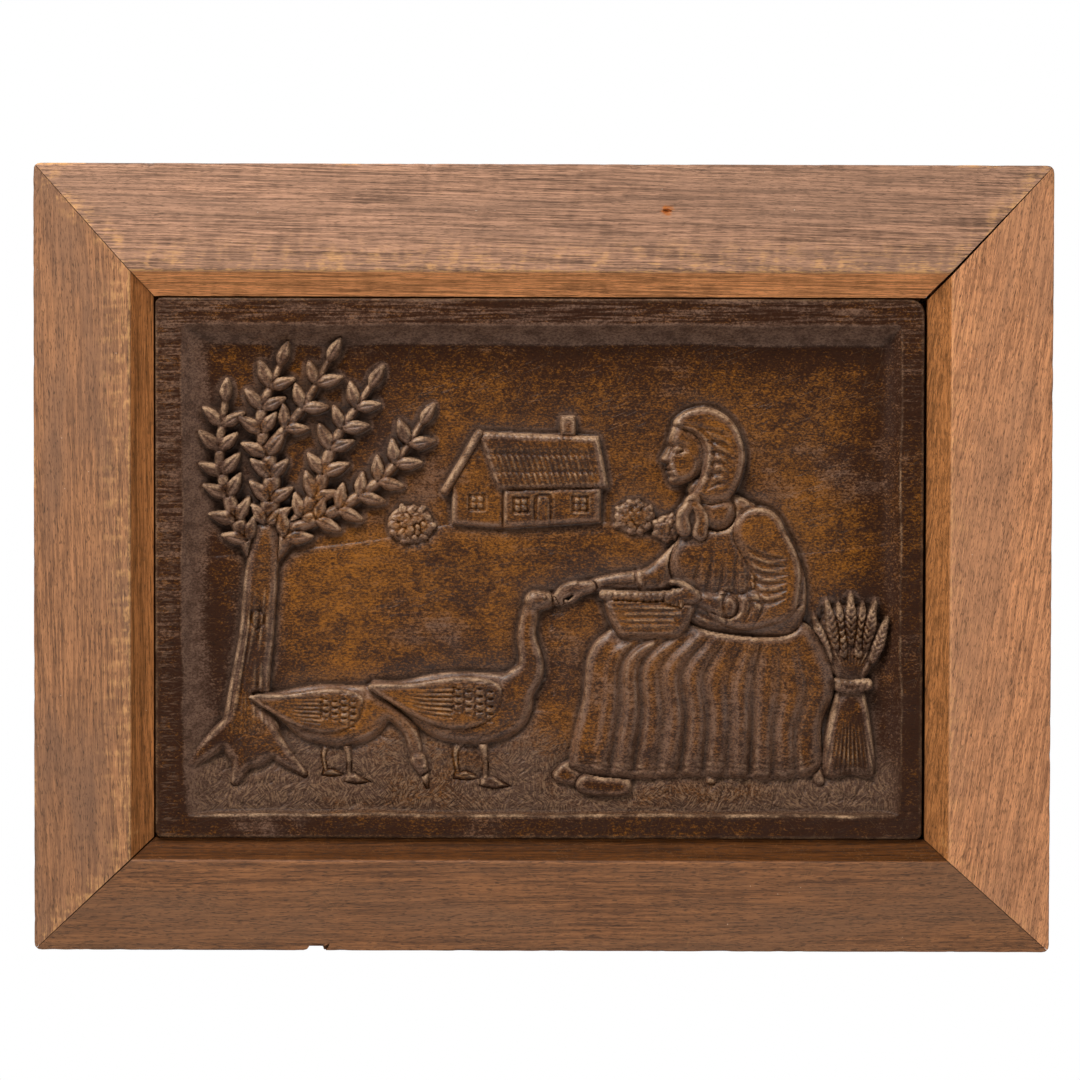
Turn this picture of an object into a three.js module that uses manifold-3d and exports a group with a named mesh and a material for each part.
// Relief panel: a carved wooden picture board set in a mitred hardwood frame, made to hang on a wall.
// Millimetres. X runs along the width, Y into the wall and Z up. The origin is the middle of the top
// rail's back, where the panel hangs. The carved board's own coordinates start at the board's centre.

import * as THREE from "three";
import { mergeVertices } from "three/addons/utils/BufferGeometryUtils.js";
import Module from "manifold-3d";

const wasm = await Module();
wasm.setup();

// Carved board: its face is as large as a sheet of A4 paper.
const BOARD_WIDTH = 297;
const BOARD_HEIGHT = 209;
const BOARD_CORNER = 2.5;
const BOARD_FRONT = -22.5;
const BOARD_BACK = -4.3;

// Sunken picture field: its rim, measured from the board's centre, its depth and the width of its
// sloping sides.
const FIELD = { left: -138, right: 140, bottom: -95.5, top: 94 };
const SLOPE = { left: 12, right: 5, bottom: 3.5, top: 8 };
const FIELD_DEPTH = 6;
const GROUND = BOARD_FRONT + FIELD_DEPTH;

// Frame: width of each rail's face, and the open line between each rail and the board.
const RAIL_WIDTH = { left: 46, right: 48.3, bottom: 43.3, top: 51 };
const BOARD_GAP = { left: 0.8, right: 1.2, bottom: 0.3, top: 0.7 };
const OUTER_EDGE = -24.5;
const COVE_ARRIS = -28;
const COVE_LIP = -21;
const COVE_SHARE = 0.188;
const COVE_STEPS = 5;
const LEDGE_FRONT = -4;
const LEDGE_SHARE = 0.15;
const EDGE_BEVEL = 0.8;
const BEVEL_SHARE = 0.017;
const MITRE_GAP = 0.15;
const OPEN_MITRE = 0.25;

// Chip out of the bottom rail's lower front edge.
const CHIP = { fromLeft: 109.5, width: 9, height: 2.6, depth: 13 };

// How the forms of the relief are divided into faces. ROUND and RIDGE are the sections of a limb,
// across it and out of the ground.
const ROUND = [[0, 1], [0.62, 0.78], [1, 0], [1, -1], [-1, -1], [-1, 0], [-0.62, 0.78]];
const RIDGE = [[0, 1], [1, 0], [1, -1], [-1, -1], [-1, 0]];
const END_WIDTH = 0.55;
const SLAB_BEVEL = 0.7;
const LEAF_SPACING = 10.5;
const LEAF_LENGTH = 12;
const TUFT_SPACING = 8.5;
const BLADE_LENGTH = 9;
const FOLDS = 7;
const STROKES = 13;
const BURIED = 1.5;
const RING_INSETS = [0, 0.12, 0.42];

const COLOURS = {
  rail_top: 0x9a7058,
  rail_bottom: 0x7d563c,
  rail_left: 0x93694c,
  rail_right: 0xa87553,
  relief_panel: 0x55351f,
};

const OPENING = {
  left: -BOARD_WIDTH / 2 - BOARD_GAP.left,
  right: BOARD_WIDTH / 2 + BOARD_GAP.right,
  bottom: -BOARD_HEIGHT / 2 - BOARD_GAP.bottom,
  top: BOARD_HEIGHT / 2 + BOARD_GAP.top,
};
const OUTSIDE = {
  left: OPENING.left - RAIL_WIDTH.left,
  right: OPENING.right + RAIL_WIDTH.right,
  bottom: OPENING.bottom - RAIL_WIDTH.bottom,
  top: OPENING.top + RAIL_WIDTH.top,
};

// Turns a closed geometry into a solid whose faces point outwards.
function solid(geometry) {
  geometry.deleteAttribute("normal");
  geometry.deleteAttribute("uv");
  const welded = mergeVertices(geometry, 1e-4);
  const vertProperties = new Float32Array(welded.getAttribute("position").array);
  const triVerts = new Uint32Array(welded.index.array);
  const body = new wasm.Manifold(new wasm.Mesh({ numProp: 3, vertProperties, triVerts }));
  if (body.volume() > 0) {
    return body;
  }
  return new wasm.Manifold(new wasm.Mesh({ numProp: 3, vertProperties, triVerts: triVerts.reverse() }));
}

// Gives a finished solid back as a named mesh in its own wood colour.
function woodMesh(name, body, roughness) {
  const { vertProperties, triVerts } = body.getMesh();
  const geometry = new THREE.BufferGeometry();
  geometry.setAttribute("position", new THREE.BufferAttribute(vertProperties, 3));
  geometry.setIndex(new THREE.BufferAttribute(triVerts, 1));
  geometry.computeVertexNormals();
  const material = new THREE.MeshStandardMaterial({ color: COLOURS[name], roughness, metalness: 0 });
  const mesh = new THREE.Mesh(geometry, material);
  mesh.name = name;
  return mesh;
}

// A closed skin of rings, each place(row, turn, middle) giving a point. The first and the last ring
// are closed over their middles.
function skin(sides, rows, place) {
  const geometry = new THREE.CylinderGeometry(1, 1, 1, sides, rows);
  const position = geometry.getAttribute("position");
  const corner = new THREE.Vector3();
  for (let index = 0; index < position.count; index++) {
    corner.fromBufferAttribute(position, index);
    const row = Math.round((0.5 - corner.y) * rows);
    const step = Math.round((Math.atan2(corner.x, corner.z) / (2 * Math.PI)) * sides);
    const turn = ((step + sides) % sides) / sides;
    const middle = Math.hypot(corner.x, corner.z) < 0.5;
    const point = place(row, turn, middle);
    position.setXYZ(index, point.x, point.y, point.z);
  }
  return solid(geometry);
}

// A smooth run through points in the picture plane. The curve's own y carries the third value.
function smooth(points, closed = false) {
  const knots = points.map(([x, z, third = 0]) => new THREE.Vector3(x, third, z));
  return new THREE.CatmullRomCurve3(knots, closed, "catmullrom", 0.5);
}

// A limb along points of x, z and half width, rising crown above the level base. A round one has
// narrowed ends, and a plain ridge has square ones.
function limb(points, crown, { base = 0, steps = 2 * (points.length - 1), section = ROUND } = {}) {
  const path = smooth(points);
  const widest = Math.max(...points.map((point) => point[2]));
  const rounding = section === ROUND ? 1 : 0;
  return skin(section.length, steps + 2 * rounding, (row, turn, middle) => {
    const share = THREE.MathUtils.clamp((row - rounding) / steps, 0, 1);
    const at = path.getPoint(share);
    const along = path.getTangent(share).setY(0).normalize();
    const end = Math.sign(row - rounding - share * steps);
    const half = at.y * (end === 0 ? 1 : END_WIDTH);
    const reach = end * at.y * END_WIDTH;
    const [across, out] = middle ? [0, 0] : section[Math.round(turn * section.length)];
    const side = across * half;
    const depth = out > 0 ? -out * crown * Math.sqrt(half / widest) : -out * (base + BURIED);
    const x = at.x + along.x * reach + along.z * side;
    const z = at.z + along.z * reach - along.x * side;
    return new THREE.Vector3(x, GROUND - base + depth, z);
  });
}

// A domed form inside a closed outline. It rises from base to base + crown over edge, inwards.
function pillow(outline, crown, { base = 0, edge = 6, centre, sides } = {}) {
  const count = sides ?? Math.round(1.4 * outline.length);
  const rim = smooth(outline, true);
  const middlePoint = new THREE.Vector3();
  outline.forEach(([x, z]) => middlePoint.add(new THREE.Vector3(x, 0, z).divideScalar(outline.length)));
  if (centre) {
    middlePoint.set(centre[0], 0, centre[1]);
  }
  return skin(count, RING_INSETS.length, (row, turn, middle) => {
    const at = rim.getPoint(turn);
    const inset = middle && row > 0 ? 1 : RING_INSETS[Math.max(row - 1, 0)];
    const inwards = at.distanceTo(middlePoint) * inset;
    const share = THREE.MathUtils.clamp(inwards / edge, 0, 1);
    const rise = row === 0 ? -base - BURIED : crown * Math.sqrt(1 - (1 - share) ** 2);
    at.lerp(middlePoint, middle ? 1 : inset);
    at.y = GROUND - base - rise;
    return at;
  });
}

// A flat-topped form inside straight edges, such as a wall, with its edges bevelled.
function slab(outline, rise) {
  const shape = new THREE.Shape(outline.map(([x, z]) => new THREE.Vector2(x, z)));
  const geometry = new THREE.ExtrudeGeometry(shape, {
    depth: rise + BURIED - 2 * SLAB_BEVEL,
    bevelThickness: SLAB_BEVEL,
    bevelSize: SLAB_BEVEL,
    bevelOffset: -SLAB_BEVEL,
    bevelSegments: 1,
  });
  geometry.rotateX(Math.PI / 2);
  geometry.translate(0, GROUND + BURIED - SLAB_BEVEL, 0);
  return solid(geometry);
}

function join(bodies) {
  return bodies.reduce((whole, body) => whole.add(body));
}

// Seeded numbers between 0 and 1, for what a carver's hand varies.
function seededNumbers(seed) {
  let state = seed;
  return () => {
    state = (state * 16807) % 2147483647;
    return state / 2147483647;
  };
}

// Moves points of x, z and perhaps a half width to a form's own place and scale.
function placed(points, [x, z], scale) {
  return points.map(([u, v, half = 0]) => [x + u * scale, z + v * scale, half * scale]);
}

// Hills behind the figures and the bank of grass along the foot of the field.
function makeLand() {
  const hills = [[-150, 2], [-70, 10], [-20, 19], [35, 17], [90, 6], [150, 12], [150, -60], [-150, -60]];
  const bank = [[-134, -82], [-60, -79], [20, -80], [80, -78], [136, -82], [137, -94], [0, -95], [-135, -94]];
  return [pillow(hills, 0.9, { edge: 10, sides: 16 }), pillow(bank, 1.4, { edge: 9, sides: 14 })];
}

// A thatched cottage: gable wall, long wall, chimney, roof and the edge of the thatch.
function makeCottage() {
  const [gableSide, corner, farSide] = [-34, -14, 24];
  const [foot, eaves, ridge] = [17, 33, 52];
  const peak = (gableSide + corner) / 2 + 0.5;
  const gable = [[gableSide, foot], [corner, foot - 1.5], [corner, eaves], [peak, ridge - 1],
    [gableSide, eaves]];
  const wall = [[corner, foot - 1.5], [farSide, foot + 1], [farSide, eaves], [corner, eaves]];
  const chimney = [[8, ridge - 6], [14, ridge - 6], [14, ridge + 7.5], [8, ridge + 7.5]];
  const roof = [[corner - 2.5, eaves - 2.8], [farSide + 3, eaves - 1.8], [farSide - 1, ridge - 0.5],
    [peak - 1, ridge + 1.2]];
  const barge = limb([[gableSide - 2.5, eaves - 3, 1.7], [peak, ridge + 0.2, 1.7]], 2.6, { base: 0.3 });
  return [slab(gable, 1.8), slab(wall, 2.4), slab(chimney, 2.2), slab(roof, 3.1), barge];
}

// One leaf or blade: four points round a raised middle.
function makeLeaf([x, z], angle, length, base = 2) {
  const shape = [[0, 0], [0.42, 0.25], [1, 0], [0.42, -0.25]];
  const [across, up] = [Math.cos(angle), Math.sin(angle)];
  const crown = 1.5;
  return skin(shape.length, 1, (row, turn, middle) => {
    const [s, t] = middle ? [0.5, 0] : shape[Math.round(turn * shape.length)];
    const out = row === 0 ? -BURIED : base + (middle ? crown : 0);
    const right = (s * across - t * up) * length;
    const above = (s * up + t * across) * length;
    return new THREE.Vector3(x + right, GROUND - out, z + above);
  });
}

// The leafy tree at the left: trunk, roots, boughs and pairs of leaves along each bough.
function makeTree() {
  const trunk = [[-112, -66, 12], [-113, -52, 8.5], [-110, -28, 7], [-108, -4, 6.6], [-106, 14, 5]];
  const roots = [
    [[-114, -58, 6], [-126, -68, 4.2], [-134, -76, 2]],
    [[-110, -60, 6], [-100, -72, 4], [-91, -80, 1.6]],
    [[-113, -62, 6], [-115, -74, 4.5], [-118, -83, 2]],
  ];
  const boughs = [
    [[-108, 2, 4.2], [-118, 20, 3.2], [-124, 42, 2.2], [-122, 64, 1.3]],
    [[-107, 8, 4.6], [-104, 34, 3.6], [-108, 58, 2.4], [-101, 78, 1.2]],
    [[-105, 4, 4.2], [-88, 26, 3.2], [-80, 48, 2.2], [-66, 70, 1.2]],
    [[-96, 15, 3], [-76, 24, 2.4], [-58, 38, 1.8], [-46, 56, 1.1]],
    [[-106, 46, 2.2], [-92, 62, 1.7], [-82, 80, 1]],
  ];
  const bodies = [limb(trunk, 4.6, { steps: 5 })];
  roots.forEach((root) => bodies.push(limb(root, 4, { steps: 3 })));
  boughs.forEach((bough, which) => {
    bodies.push(limb(bough, 3 + 0.25 * (4 - which), { steps: 5 }));
    const path = smooth(bough);
    const count = Math.floor(path.getLength() / LEAF_SPACING);
    for (let step = 1; step <= count; step++) {
      const at = path.getPointAt(step / count);
      const along = path.getTangentAt(step / count);
      const heading = Math.atan2(along.z, along.x);
      const spread = THREE.MathUtils.degToRad(52 - 6 * (step % 2));
      const turns = step === count ? [0] : [spread, -spread];
      turns.forEach((turn) => bodies.push(makeLeaf([at.x, at.z], heading + turn, LEAF_LENGTH)));
    }
  });
  return bodies;
}

// A goose facing right, with its neck along the given points. The head turns by the given angle.
function makeGoose(place, scale, neck, head, headAngle, crown) {
  const own = (points) => placed(points, place, scale);
  const body = [[23, 5], [21, -5], [13, -11.5], [0, -13.5], [-13, -11], [-23, -3], [-33, 5], [-35, 9.5],
    [-25, 9.5], [-10, 12.5], [6, 12.5], [17, 11.5]];
  const wing = [[12, 6], [9, -3], [-2, -7.5], [-16, -5], [-32, 4], [-36, 8], [-22, 8.6], [-4, 11], [7, 10]];
  const neckWidths = [7.2, 5, 3.6, 3.1];
  const [across, up] = [Math.cos(headAngle), Math.sin(headAngle)];
  const onHead = (u, v) => [head[0] + u * across - v * up, head[1] + u * up + v * across];
  const skull = [[...onHead(-1, 0), 3.9], [...onHead(3.2, -0.2), 3]];
  const bill = [[...onHead(5, -0.2), 2.3], [...onHead(11.6, -2), 0.7]];
  const bodies = [
    limb(own([[-3, -10, 2.4], [-5, -17, 1.2], [-4, -24, 1]]), 2.2, { steps: 2, section: RIDGE }),
    limb(own([[-5, -24, 1.4], [3, -25, 1]]), 1.8, { steps: 1, section: RIDGE }),
    limb(own([[4, -9, 3.2], [5.5, -17, 1.4], [6, -26, 1.2]]), 3.2, { steps: 2, section: RIDGE }),
    limb(own([[5, -26.5, 1.8], [14, -28, 1]]), 2.4, { steps: 1, section: RIDGE }),
    pillow(own(body), crown, { edge: 9 * scale, centre: own([[-4, 1]])[0] }),
    limb(own(neck.map((point, index) => [...point, neckWidths[index]])), crown - 0.6),
    limb(own(skull), crown - 0.7, { steps: 2 }),
    limb(own(bill), crown - 1.4, { steps: 2, section: RIDGE }),
    pillow(own(wing), 1.2, { base: crown - 0.6, edge: 4.5 * scale, centre: own([[-12, 3]])[0] }),
  ];
  for (let quill = 0; quill < 3; quill++) {
    const rib = [[-7 - quill, 5 - 3.6 * quill, 0.9], [-19 - quill, 5 - 2.8 * quill, 0.9],
      [-31 + 1.6 * quill, 6.6 - 1.2 * quill, 0.9]];
    bodies.push(limb(own(rib), 0.8, { base: crown + 0.3, steps: 2, section: RIDGE }));
  }
  return bodies;
}

// A tied sheaf of wheat, with its ears spread at the top.
function makeSheaf([x, z]) {
  const tie = z + 2;
  const straw = [[x - 11, z - 32], [x - 4.5, tie], [x + 4.5, tie], [x + 10, z - 32], [x, z - 34]];
  const head = [[x - 4.5, tie], [x - 12, z + 22], [x - 8, z + 32], [x + 1, z + 34], [x + 9, z + 31],
    [x + 12, z + 20], [x + 4.5, tie]];
  const bodies = [
    pillow(straw, 4.2, { edge: 6, sides: 14 }),
    pillow(head, 4.2, { edge: 6, sides: 16 }),
    limb([[x - 6.2, tie - 0.6, 2.4], [x, tie - 1.4, 2.6], [x + 6.2, tie - 0.6, 2.4]], 1.2, { base: 4.2 }),
  ];
  const ears = 7;
  for (let ear = 0; ear < ears; ear++) {
    const lean = (2 * ear) / (ears - 1) - 1;
    const low = [x + 9 * lean, z + 18 - 4 * Math.abs(lean) + 4 * (ear % 2)];
    const high = [x + 13 * lean, z + 35 - 6 * lean * lean + 3 * (ear % 2)];
    const middle = [(low[0] + high[0]) / 2, (low[1] + high[1]) / 2];
    const spindle = [[...low, 1.2], [...middle, 2.1], [...high, 0.8]];
    bodies.push(limb(spindle, 1.3, { base: 3.6, steps: 2, section: RIDGE }));
  }
  return bodies;
}

// The fold lines of the skirt, spread between its front edge and its back edge.
function makeFolds(place) {
  const front = [[40, -24], [28, -34], [25, -54], [21, -77]];
  const back = [[104, -30], [108, -48], [104, -62], [104, -80]];
  const bodies = [];
  for (let fold = 0; fold < FOLDS; fold++) {
    const share = (fold + 0.6) / (FOLDS + 0.2);
    const sag = 5 * Math.sin(Math.PI * share);
    const points = front.map(([x, z], row) => {
      const [backX, backZ] = back[row];
      const width = [0.9, 1.5, 2, 2.2][row];
      return [x + (backX - x) * share - (row === 1 ? sag : 0), z + (backZ - z) * share, width];
    });
    bodies.push(limb(placed(points, place, 1), 1, { base: 4.6, steps: 4, section: RIDGE }));
  }
  return bodies;
}

// The woman's head, facing left: a plain profile, a scarf over the hair and its knot at the throat.
function makeHead(place) {
  const own = (points) => placed(points, place, 1);
  const profile = [[-7, 12.5], [-9.4, 8.4], [-10, 5.2], [-9.3, 3.2], [-11, 0.6], [-12.7, -2], [-10.6, -3.2],
    [-11.1, -4.7], [-10.1, -5.6], [-10.6, -6.7], [-9.5, -8], [-10, -9.8], [-8, -11.6], [-3, -10.6], [3, -7],
    [6, 2], [4, 12]];
  const scarf = [[-8.4, 12.8], [-3, 17.4], [6, 18.6], [15, 13], [19.5, 2], [18, -9], [13, -17], [5, -19],
    [-0.5, -15.4], [2.2, -8], [3.4, 1], [0.4, 7.6], [-5.6, 10.6]];
  const rim = [[-7.4, 11.8, 1], [-0.4, 9, 1], [4.2, 2.8, 1], [3.8, -6, 1], [1.2, -14.2, 1]];
  const tails = [
    [[-1.5, -18.6, 1.6], [-4.5, -23, 2.4], [-4, -28.5, 2.9]],
    [[0.5, -18.8, 1.6], [3, -24, 2.5], [2.2, -30, 3]],
  ];
  return [
    limb(own([[9, -22, 7.5], [4, -13, 6.5]]), 4, { base: 0.8, steps: 2 }),
    pillow(own(profile), 5, { edge: 5, centre: own([[-2, 1]])[0], sides: 26 }),
    pillow(own(scarf), 2.4, { base: 3.4, edge: 5.5, centre: own([[9.5, 1]])[0] }),
    limb(own(rim), 0.7, { base: 5, steps: 5, section: RIDGE }),
    limb(own([[-3, -17.4, 2.4], [2, -17.4, 2.4]]), 1.8, { base: 4.2, steps: 1 }),
    ...tails.map((tail) => limb(own(tail), 1.4, { base: 4.4, steps: 2, section: RIDGE })),
  ];
}

// A hand: its palm and its fingers, each a short limb.
function makeHand(palm, fingers, crown, base) {
  const bodies = fingers.map((finger) => limb(finger, crown, { base, steps: 1, section: RIDGE }));
  return [limb(palm, crown, { base, steps: 2 }), ...bodies];
}

// The seated woman on her stool, feeding the geese with one arm out and the other round a basket.
function makeWoman(place) {
  const own = (points) => placed(points, place, 1);
  const skirt = [[62, -16], [46, -19], [30, -24], [22, -33], [20, -50], [15, -72], [18, -79], [40, -82],
    [66, -81], [96, -82], [112, -78], [113, -60], [118, -44], [108, -22], [84, -14]];
  const torso = [[66, 26], [58, 14], [53, 2], [57, -10], [60, -20], [74, -25], [98, -26], [106, -18],
    [106, -2], [99, 14], [88, 24], [78, 29]];
  const basket = [[28.5, -10], [46, -9.5], [63.5, -10], [59, -25], [50, -27], [40, -27], [33, -25]];
  const farHand = [0, 1, 2].map((finger) => [
    [17 - 0.8 * finger, -6 - 1.4 * finger, 1.4],
    [12.2 - 0.2 * finger, -7.4 - 1.6 * finger, 1.2],
    [9.4 + 0.8 * finger, -10.8 - 1.3 * finger, 1],
  ]);
  const nearHand = [0, 1, 2, 3].map((finger) => [
    [60.5 - 1.7 * finger, -8 - 0.2 * finger, 1.35],
    [58.2 - 1.9 * finger, -10.6 - 0.3 * finger, 1.3],
    [57.8 - 1.6 * finger, -14.2 + 0.5 * finger, 1.1],
  ]);
  return [
    limb(own([[104, -50, 2.6], [112, -82, 2.4]]), 2.6, { steps: 2 }),
    limb(own([[74, -52, 2.6], [70, -82, 2.4]]), 2.2, { steps: 2 }),
    limb(own([[66, 10, 7.5], [52, -2, 6.4], [44, -6, 5.6]]), 3.6),
    limb(own([[46, -5, 5], [33, -5.5, 3.9], [24, -6.5, 2.7]]), 3.2),
    ...makeHand(own([[23, -7, 2.6], [17, -7.8, 3]]), farHand.map(own), 3, 0.2),
    pillow(own([[8, -80], [12, -75.5], [20, -73], [28, -75], [28, -84], [12, -84]]), 2.6, { edge: 2.6 }),
    pillow(own([[17, -83.5], [21, -79], [30, -77], [38, -80], [38, -88], [21, -88]]), 3.6, { edge: 3 }),
    pillow(own(skirt), 4.8, { edge: 11, centre: own([[66, -50]])[0] }),
    ...makeFolds(place),
    pillow(own(torso), 4.6, { base: 0.2, edge: 9, centre: own([[80, -2]])[0] }),
    ...makeHead([place[0] + 63, place[1] + 44]),
    pillow(own(basket), 3, { base: 3.2, edge: 5, centre: own([[46, -16]])[0], sides: 16 }),
    limb(own([[28, -10, 1.9], [46, -10.7, 2.1], [64, -10, 1.9]]), 1.6, { base: 5, steps: 4 }),
    limb(own([[88, 14, 10], [95, 0, 9.2], [95, -12, 8.4]]), 2.8, { base: 3.4 }),
    limb(own([[94, -13, 8.2], [82, -16.5, 7], [74, -14.5, 6.2]]), 2.8, { base: 3.4 }),
    limb(own([[76, -14.6, 4.6], [68, -12.4, 3.6], [64, -11, 3]]), 2.3, { base: 3.6, steps: 2 }),
    ...makeHand(own([[63, -10.6, 3], [57.5, -10.6, 3.4]]), nearHand.map(own), 2, 4.6),
  ];
}

// Tufts of grass: blades along the foot of the field, each leaning its own way.
function makeTufts() {
  const random = seededNumbers(11);
  const bodies = [];
  for (let x = FIELD.left + SLOPE.left; x < FIELD.right - SLOPE.right; x += TUFT_SPACING) {
    const z = -92 + 6 * random();
    const heading = THREE.MathUtils.degToRad(70 + 40 * random());
    bodies.push(makeLeaf([x, z], heading, BLADE_LENGTH, 1));
  }
  return bodies;
}

// A row of shallow slanting strokes at the foot of the field.
function makeStrokes() {
  const [from, to] = [66, 129];
  const bodies = [];
  for (let stroke = 0; stroke < STROKES; stroke++) {
    const x = from + ((to - from) * stroke) / (STROKES - 1);
    const lean = stroke % 2 ? 1.1 : -1.1;
    const cut = [[x - lean, -90.5, 0.5], [x + lean, -84.5, 0.5]];
    bodies.push(limb(cut, 0.5, { base: 1, steps: 1, section: RIDGE }));
  }
  return bodies;
}

// The block that sinks the picture field into the board, with its four sloping sides.
function makeFieldCut() {
  const over = 1;
  const levels = [[-over, -over], [0, 0], [FIELD_DEPTH, 1]];
  return skin(4, levels.length - 1, (row, turn, middle) => {
    const [depth, share] = levels[row];
    const grow = row === 0 ? over : 0;
    const sloped = Math.max(share, 0);
    const left = FIELD.left + SLOPE.left * sloped - grow;
    const right = FIELD.right - SLOPE.right * sloped + grow;
    const bottom = FIELD.bottom + SLOPE.bottom * sloped - grow;
    const top = FIELD.top - SLOPE.top * sloped + grow;
    const corner = Math.round(turn * 4);
    const x = middle ? (left + right) / 2 : [left, right, right, left][corner];
    const z = middle ? (bottom + top) / 2 : [bottom, bottom, top, top][corner];
    return new THREE.Vector3(x, BOARD_FRONT + depth, z);
  });
}

// The whole board with round corners, from its back to a front that stands proud by extra.
function makeBlank(extra) {
  const [w, h, r] = [BOARD_WIDTH / 2, BOARD_HEIGHT / 2, BOARD_CORNER];
  const outline = new THREE.Shape();
  outline.moveTo(-w + r, -h);
  outline.lineTo(w - r, -h);
  outline.absarc(w - r, -h + r, r, -Math.PI / 2, 0);
  outline.lineTo(w, h - r);
  outline.absarc(w - r, h - r, r, 0, Math.PI / 2);
  outline.lineTo(-w + r, h);
  outline.absarc(-w + r, h - r, r, Math.PI / 2, Math.PI);
  outline.lineTo(-w, -h + r);
  outline.absarc(-w + r, -h + r, r, Math.PI, 1.5 * Math.PI);
  const depth = BOARD_BACK - BOARD_FRONT + extra;
  const geometry = new THREE.ExtrudeGeometry(outline, { depth, bevelEnabled: false, curveSegments: 3 });
  geometry.rotateX(Math.PI / 2);
  geometry.translate(0, BOARD_BACK, 0);
  return solid(geometry);
}

function makeBoard() {
  const shift = -3;
  const neckDown = [[16, 3], [24, 2], [31, -6], [34, -15]];
  const neckUp = [[15, 5], [22, 14], [20.5, 26], [22, 35]];
  const forms = [
    ...makeLand(),
    ...makeCottage(),
    ...makeTree(),
    ...makeTufts(),
    ...makeSheaf([121, -46]),
    ...makeGoose([-76 + shift, -57], 0.92, neckDown, [35.5, -20], THREE.MathUtils.degToRad(-62), 4.4),
    ...makeGoose([-24 + shift, -54], 1.08, neckUp, [24.5, 38.5], THREE.MathUtils.degToRad(8), 5),
    ...makeWoman([shift, 0]),
  ];
  const carved = join([makeBlank(0).subtract(makeFieldCut()), ...forms]);
  return makeStrokes().reduce((board, stroke) => board.subtract(stroke), carved).intersect(makeBlank(0.6));
}

// The frame's section: share of the rail's width from the outer edge, and depth.
function railSection() {
  const section = [[0, 0], [0, OUTER_EDGE + EDGE_BEVEL], [BEVEL_SHARE, OUTER_EDGE], [1 - COVE_SHARE, COVE_ARRIS]];
  for (let step = 1; step <= COVE_STEPS; step++) {
    const share = step / COVE_STEPS;
    const scoop = Math.sin((share * Math.PI) / 2);
    section.push([1 - COVE_SHARE + COVE_SHARE * share, COVE_ARRIS + (COVE_LIP - COVE_ARRIS) * scoop]);
  }
  section.push([1, LEDGE_FRONT], [1 + LEDGE_SHARE, LEDGE_FRONT], [1 + LEDGE_SHARE, 0]);
  return section;
}

// A rail between two mitres. Each end is [outer corner, inner corner, how far the joint opens].
function makeRail(start, end) {
  const shape = new THREE.Shape(railSection().map(([share, y]) => new THREE.Vector2(share, y)));
  const geometry = new THREE.ExtrudeGeometry(shape, { depth: 1, bevelEnabled: false });
  const position = geometry.getAttribute("position");
  const along = end.outer.clone().sub(start.outer).normalize();
  for (let index = 0; index < position.count; index++) {
    const share = position.getX(index);
    const atEnd = position.getZ(index) > 0.5;
    const mitre = atEnd ? end : start;
    const back = (MITRE_GAP + mitre.open * share) * Math.SQRT2 * (atEnd ? -1 : 1);
    const place = mitre.outer.clone().lerp(mitre.inner, share).addScaledVector(along, back);
    position.setXYZ(index, place.x, position.getY(index), place.y);
  }
  return solid(geometry);
}

function makeChip() {
  const x = OUTSIDE.left + CHIP.fromLeft;
  const [half, foot] = [CHIP.width / 2, OUTSIDE.bottom];
  const geometry = new THREE.ExtrudeGeometry(new THREE.Shape([
    new THREE.Vector2(x - half - 1, foot - 1),
    new THREE.Vector2(x - half, foot + 0.4),
    new THREE.Vector2(x - half + 1.5, foot + CHIP.height * 0.8),
    new THREE.Vector2(x, foot + CHIP.height * 0.7),
    new THREE.Vector2(x + half - 2, foot + CHIP.height),
    new THREE.Vector2(x + half + 0.6, foot + 0.6),
    new THREE.Vector2(x + half + 1, foot - 1),
  ]), { depth: CHIP.depth, bevelEnabled: false });
  geometry.rotateX(Math.PI / 2);
  geometry.translate(0, OUTER_EDGE - 2 + CHIP.depth, 0);
  return solid(geometry);
}

function mitre(sideways, upright, open = 0) {
  const outer = new THREE.Vector2(OUTSIDE[sideways], OUTSIDE[upright]);
  const inner = new THREE.Vector2(OPENING[sideways], OPENING[upright]);
  return { outer, inner, open };
}

const topLeft = mitre("left", "top");
const topRight = mitre("right", "top", OPEN_MITRE);
const bottomRight = mitre("right", "bottom");
const bottomLeft = mitre("left", "bottom");

const reliefPanel = new THREE.Group();
reliefPanel.position.set(-(OUTSIDE.left + OUTSIDE.right) / 2, 0, -(OUTSIDE.top + OPENING.top) / 2);
reliefPanel.add(
  woodMesh("rail_top", makeRail(topLeft, topRight), 0.6),
  woodMesh("rail_bottom", makeRail(bottomRight, bottomLeft).subtract(makeChip()), 0.6),
  woodMesh("rail_left", makeRail(bottomLeft, topLeft), 0.6),
  woodMesh("rail_right", makeRail(topRight, bottomRight), 0.6),
  woodMesh("relief_panel", makeBoard(), 0.45),
);

const model = new THREE.Group();
model.add(reliefPanel);

export default model;
